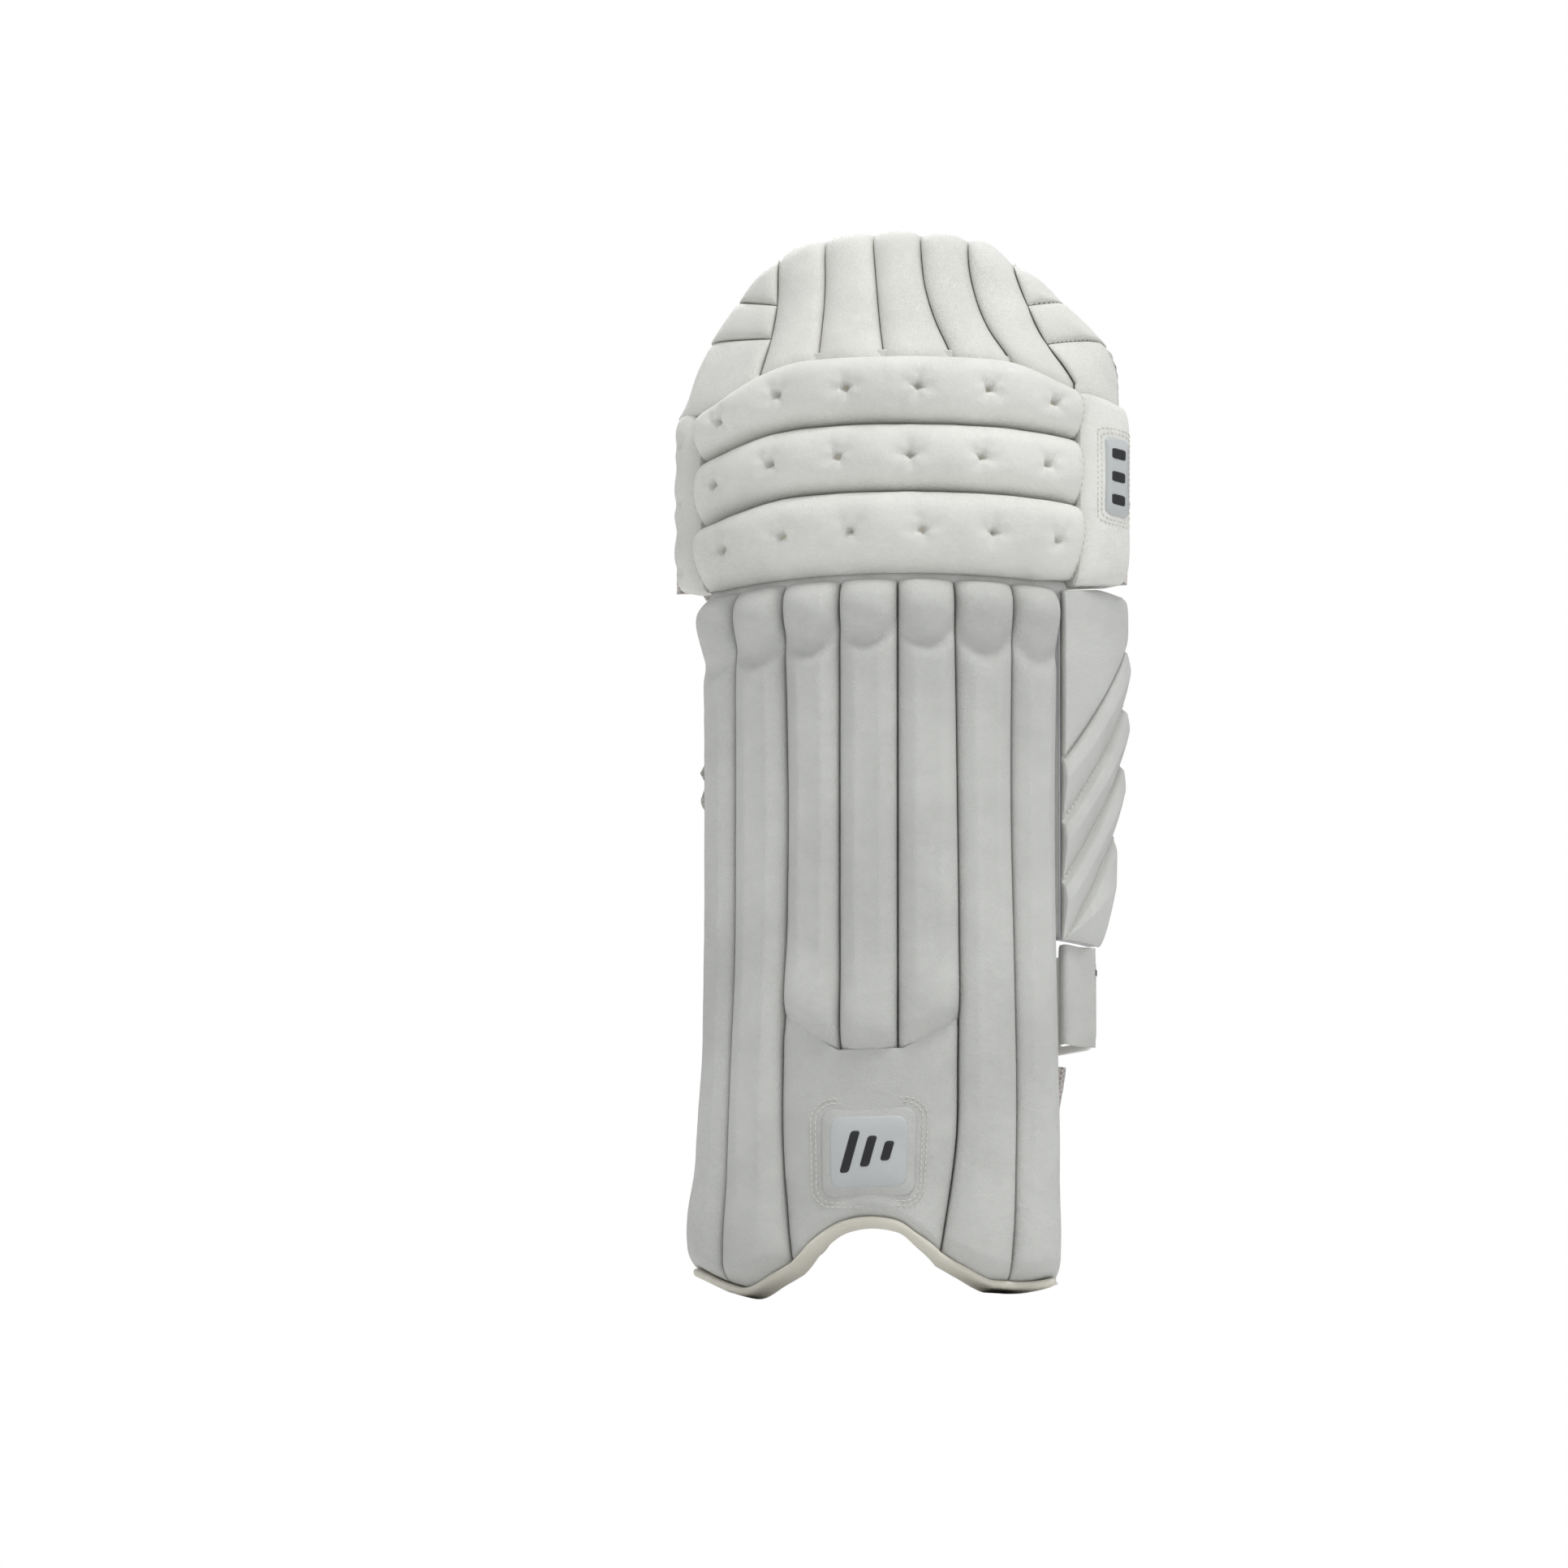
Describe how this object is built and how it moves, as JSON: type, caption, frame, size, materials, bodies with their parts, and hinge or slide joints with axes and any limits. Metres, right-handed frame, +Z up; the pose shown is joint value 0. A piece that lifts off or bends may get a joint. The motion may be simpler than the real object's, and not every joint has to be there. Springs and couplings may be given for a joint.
{
  "type": "cricket leg pad",
  "caption": "Batting leg pad: padded shin canes, rolled knee section, leaning top hat, side wing, knee flaps and open hook-and-loop straps with rings.",
  "frame": {"origin": "centre of the pad's bounding box at the height of the hem it stands on", "axes": "+Z up along the shin, -Y the pad's front, +X the side with the wing"},
  "size_m": [0.268, 0.1382, 0.655],
  "materials": {
    "air_mesh": "padded open air mesh, warm white",
    "back_pu": "smooth white PU lining",
    "badge": "light grey moulded badge",
    "binding": "cream PU binding",
    "board": "stiff foam board, unseen",
    "cane": "cane rods, unseen",
    "foam": "upholstery foam, unseen",
    "front_pu": "matt white PU leather, fine grain",
    "knee_pu": "soft matt white PU leather",
    "ring_plastic": "white moulded nylon",
    "satin": "light grey satin lining",
    "webbing": "woven off-white strap face"
  },
  "bodies": {
    "shin": {"shin_cane_cover_1": "front_pu", "shin_cane_cover_2": "front_pu", "shin_cane_cover_3": "front_pu", "shin_cane_cover_4": "front_pu", "shin_cane_cover_5": "front_pu", "shin_cane_cover_6": "front_pu", "shin_cane_cover_7": "front_pu", "shin_cane_foams": "foam", "cane_rods": "cane", "instep_panel": "front_pu", "shin_backing": "board", "shin_lining": "satin", "hem_binding": "binding", "outer_calf_bolster": "air_mesh", "inner_calf_bolster": "air_mesh", "calf_bolster_foams": "foam", "centre_strip": "back_pu", "instep_badge": "badge", "ankle_ring_tab": "webbing", "ankle_anchor_tab": "webbing"},
    "knee": {"knee_roll_lower": "knee_pu", "knee_roll_middle": "knee_pu", "knee_roll_upper": "knee_pu", "knee_roll_foams": "foam", "knee_side_inner": "knee_pu", "knee_side_outer": "knee_pu", "knee_backing": "board", "knee_cup": "back_pu", "knee_cup_centre": "back_pu", "knee_badge": "badge", "knee_ring_tab": "webbing"},
    "top_hat": {"top_hat_bolster_1": "front_pu", "top_hat_bolster_2": "front_pu", "top_hat_bolster_3": "front_pu", "top_hat_bolster_4": "front_pu", "top_hat_bolster_5": "front_pu", "top_hat_inner_pad_1": "front_pu", "top_hat_inner_pad_2": "front_pu", "top_hat_inner_pad_3": "front_pu", "top_hat_outer_pad_1": "front_pu", "top_hat_outer_pad_2": "front_pu", "top_hat_stiffener": "board", "top_hat_back": "back_pu"},
    "wing": {"wing_panel": "front_pu", "wing_bolster_1": "front_pu", "wing_bolster_2": "front_pu", "wing_bolster_3": "front_pu", "wing_bolster_4": "front_pu", "wing_bolster_5": "front_pu", "calf_ring_tabs": "webbing"},
    "outer_flap": {"knee_flap_outer": "air_mesh"},
    "inner_flap": {"knee_flap_inner": "air_mesh"},
    "knee_ring_body": {"knee_ring": "ring_plastic"},
    "calf_ring_body": {"calf_ring": "ring_plastic"},
    "ankle_ring_body": {"ankle_ring": "ring_plastic"},
    "anchor_ring_body": {"ankle_anchor_ring": "ring_plastic"},
    "knee_strap_body": {"knee_strap": "webbing"},
    "calf_strap_body": {"calf_strap": "webbing", "calf_strap_patch": "badge"},
    "ankle_strap_body": {"ankle_strap": "webbing"}
  },
  "joints": [
    {"name": "knee_fold", "type": "hinge", "parent": "shin", "child": "knee", "pos_m": [-0.00913, -0.01509, 0.433], "axis": [-1, 0, 0], "range_deg": [-3, 10]},
    {"name": "top_hat_fold", "type": "hinge", "parent": "knee", "child": "top_hat", "pos_m": [-0.00913, -0.00309, 0.566], "axis": [-1, 0, 0], "range_deg": [-2.5, 10]},
    {"name": "wing_flex", "type": "hinge", "parent": "shin", "child": "wing", "pos_m": [0.10543, -0.01044, 0.33], "axis": [0, 0, 1], "range_deg": [-20, 8]},
    {"name": "outer_flap_open", "type": "hinge", "parent": "knee", "child": "outer_flap", "pos_m": [0.10951, 0.03905, 0.5], "axis": [0, 0, -1], "range_deg": [0, 30]},
    {"name": "inner_flap_open", "type": "hinge", "parent": "knee", "child": "inner_flap", "pos_m": [-0.11315, 0.01564, 0.5], "axis": [0, 0, 1], "range_deg": [0, 30]},
    {"name": "knee_ring_swing", "type": "hinge", "parent": "knee", "child": "knee_ring_body", "pos_m": [0.12787, 0.05291, 0.484], "axis": [0, 0, 1], "range_deg": [-60, 8]},
    {"name": "calf_ring_swing", "type": "hinge", "parent": "wing", "child": "calf_ring_body", "pos_m": [0.09787, 0.03791, 0.368], "axis": [0, 0, 1], "range_deg": [-100, 5]},
    {"name": "ankle_ring_swing", "type": "hinge", "parent": "shin", "child": "ankle_ring_body", "pos_m": [0.11287, 0.02291, 0.185], "axis": [0, 0, 1], "range_deg": [-60, 5]},
    {"name": "anchor_ring_swing", "type": "hinge", "parent": "shin", "child": "anchor_ring_body", "pos_m": [-0.07413, 0.03691, 0.146], "axis": [0, 0, 1], "range_deg": [-2, 60]},
    {"name": "ankle_strap_swing", "type": "hinge", "parent": "anchor_ring_body", "child": "ankle_strap_body", "pos_m": [-0.05914, 0.03743, 0.146], "axis": [0, 0, 1], "range_deg": [-1.5, 60]},
    {"name": "calf_strap_swing", "type": "hinge", "parent": "shin", "child": "calf_strap_body", "pos_m": [-0.11913, 0.01891, 0.345], "axis": [0, 0, 1], "range_deg": [-3, 48]},
    {"name": "knee_strap_swing", "type": "hinge", "parent": "knee", "child": "knee_strap_body", "pos_m": [-0.12613, 0.02391, 0.482], "axis": [0, 0, 1], "range_deg": [-3, 60]}
  ]
}
